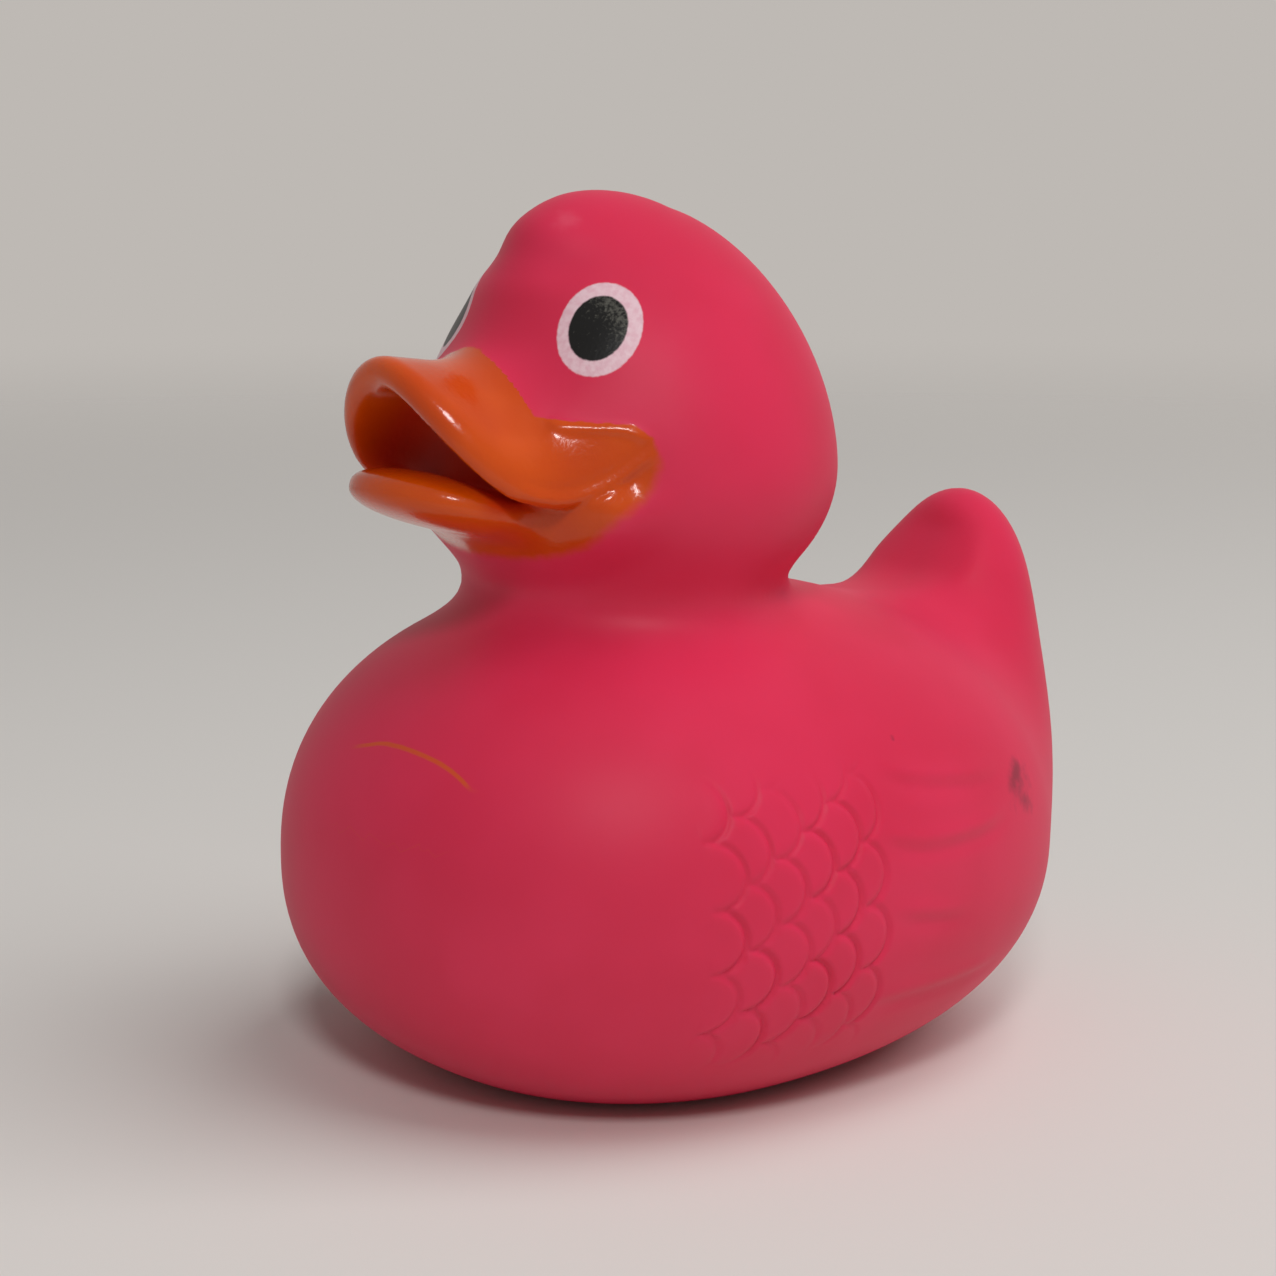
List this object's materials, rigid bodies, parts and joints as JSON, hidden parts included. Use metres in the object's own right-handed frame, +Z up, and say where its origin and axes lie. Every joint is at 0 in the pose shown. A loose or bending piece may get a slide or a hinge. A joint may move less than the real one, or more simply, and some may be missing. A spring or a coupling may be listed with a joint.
{
  "type": "rubber duck",
  "caption": "Hollow soft-vinyl bath duck with a round body, big head, open flared bill, small tuft and upright tail, standing on a flat base.",
  "frame": {"origin": "centre of the bounding box at the level of the flat base", "axes": "+Z up, -Y the way the bill points, +X the duck's left side"},
  "size_m": [0.0638, 0.08, 0.0806],
  "materials": {
    "pink_vinyl": "satin soft vinyl, moulded in pink, with the bill sprayed glossy orange and the eyes printed"
  },
  "bodies": {
    "root": {"duck_shell": "pink_vinyl"}
  },
  "joints": []
}
